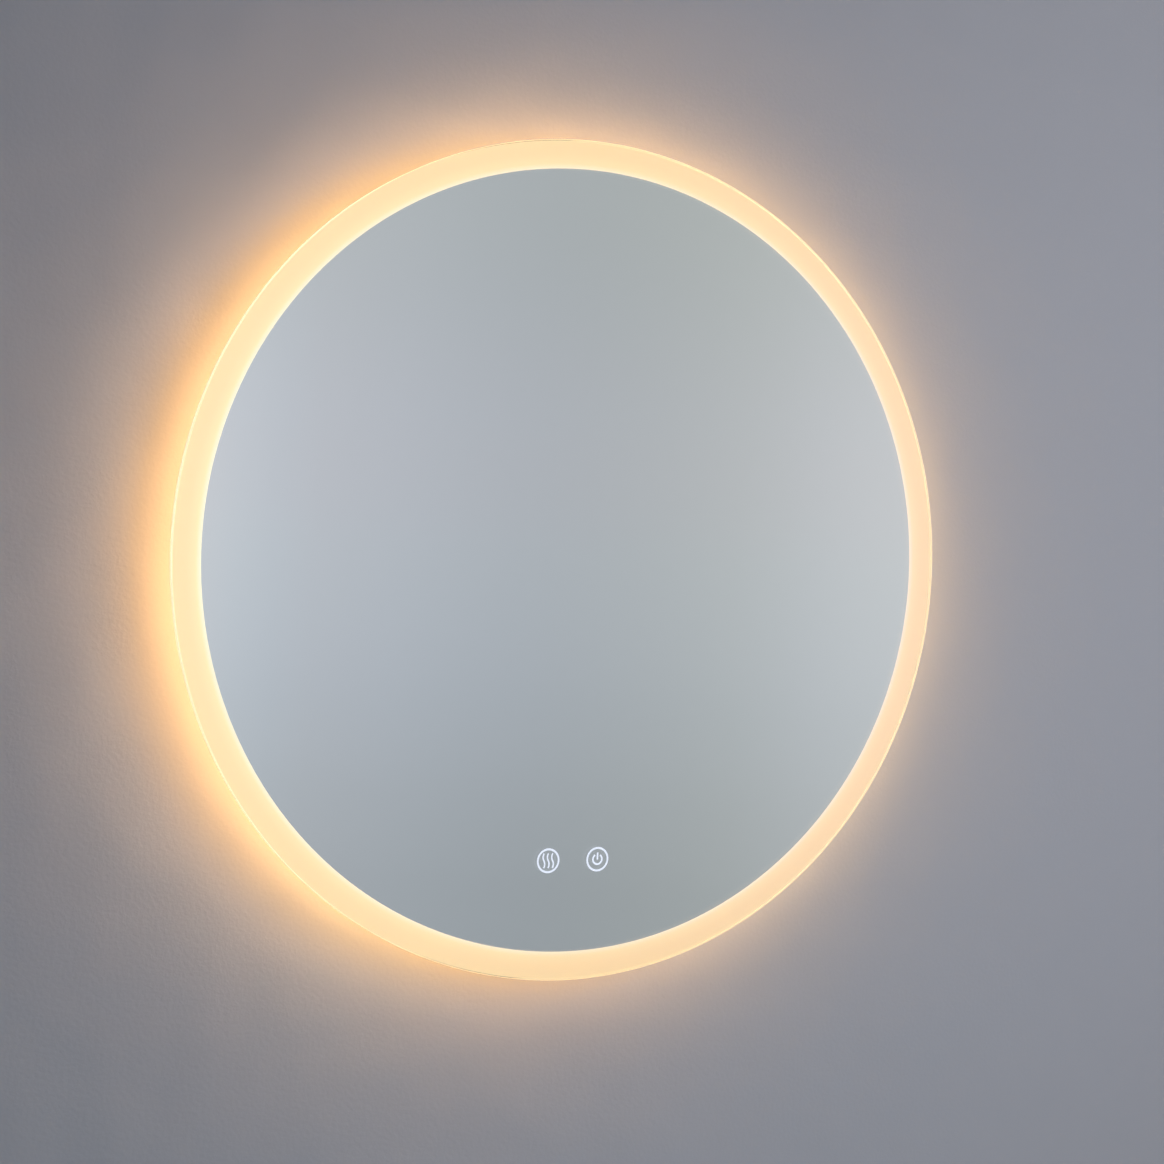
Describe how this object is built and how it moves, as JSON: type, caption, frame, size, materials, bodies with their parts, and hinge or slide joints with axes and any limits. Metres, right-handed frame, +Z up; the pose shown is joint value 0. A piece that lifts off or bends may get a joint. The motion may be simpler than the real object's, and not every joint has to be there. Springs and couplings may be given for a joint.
{
  "type": "lighted bathroom mirror",
  "caption": "Round back-lit bathroom mirror with a frosted border, touch controls and a demister, hung on a hook-on wall rail.",
  "frame": {"origin": "middle of the wall rail's screw line, on the wall's face; the mirror's axis is 98 mm below it", "axes": "+X to the viewer's right along the wall, +Y into the wall, +Z up; the glass faces -Y"},
  "size_m": [0.5999, 0.038, 0.6],
  "materials": {
    "float_glass": "polished, sandblasted border on the back",
    "silver_coating": "silvered, grey painted back",
    "frame_aluminium": "mill finish, satin",
    "rail_steel": "zinc plated",
    "rivet_aluminium": "bright",
    "screw_steel": "zinc plated",
    "opal_acrylic": "opal, satin",
    "foam_tape": "closed-cell foam",
    "silicone": "smooth, translucent white",
    "strip_board": "white solder mask",
    "led_phosphor": "phosphor",
    "resistor_black": "matt",
    "clip_nylon": "moulded",
    "black_rubber": "moulded, matt",
    "case_plastic": "moulded, fine texture",
    "circuit_board": "green solder mask",
    "ferrite_core": "matt",
    "capacitor_can": "sleeved can",
    "terminal_plastic": "moulded",
    "terminal_brass": "plated",
    "gland_nylon": "moulded",
    "icon_film": "opal",
    "touch_plastic": "moulded, matt",
    "white_led": "encapsulated",
    "conductive_foam": "foam",
    "polyester_film": "satin film",
    "heating_foil": "etched foil",
    "white_sheath": "extruded",
    "grey_sheath": "extruded",
    "earth_sheath": "extruded, green and yellow",
    "tinned_copper": "tinned"
  },
  "bodies": {
    "wall_mount": {"wall_rail": "rail_steel"},
    "mirror": {"glass_pane": "float_glass", "silvering": "silver_coating", "frame_ring": "frame_aluminium", "frame_joiner": "frame_aluminium", "joiner_screws": "screw_steel", "bond_tape": "foam_tape", "silicone_bead": "silicone", "led_strip": "strip_board", "led_chips": "led_phosphor", "led_resistors": "resistor_black", "led_feed_clip": "clip_nylon", "feed_grommet": "black_rubber", "led_diffuser": "opal_acrylic", "crossbar": "rail_steel", "crossbar_rivets": "rivet_aluminium", "hanger_rail": "rail_steel", "hanger_rivets": "rivet_aluminium", "wall_bumpers": "black_rubber", "driver_tape": "foam_tape", "driver_case": "case_plastic", "driver_board": "circuit_board", "driver_transformer": "ferrite_core", "driver_capacitors": "capacitor_can", "driver_terminals": "terminal_plastic", "driver_lid": "case_plastic", "driver_screws": "screw_steel", "terminal_box_tape": "foam_tape", "terminal_box_base": "case_plastic", "terminal_block": "terminal_plastic", "terminal_screws": "terminal_brass", "terminal_box_gasket": "conductive_foam", "terminal_box_lid": "case_plastic", "terminal_box_screws": "screw_steel", "gland_body": "gland_nylon", "gland_seal": "black_rubber", "gland_nut": "gland_nylon", "gland_locknut": "gland_nylon", "touch_tape": "foam_tape", "icon_films": "icon_film", "touch_housing": "touch_plastic", "touch_board": "circuit_board", "touch_lamps": "white_led", "touch_electrodes": "conductive_foam", "touch_sockets": "clip_nylon", "touch_lid": "touch_plastic", "demister_film": "polyester_film", "demister_track": "heating_foil", "demister_terminal": "clip_nylon", "mains_lead": "white_sheath", "supply_lead": "grey_sheath", "strip_lead": "grey_sheath", "film_lead": "white_sheath", "earth_lead": "earth_sheath", "lead_bushes": "black_rubber", "lead_clips": "clip_nylon", "earth_tag": "tinned_copper", "earth_screw": "screw_steel"}
  },
  "joints": [
    {"name": "lift_off", "type": "slide", "parent": "wall_mount", "child": "mirror", "axis": [0, 0, 1], "range_m": [0, 0.014]}
  ]
}
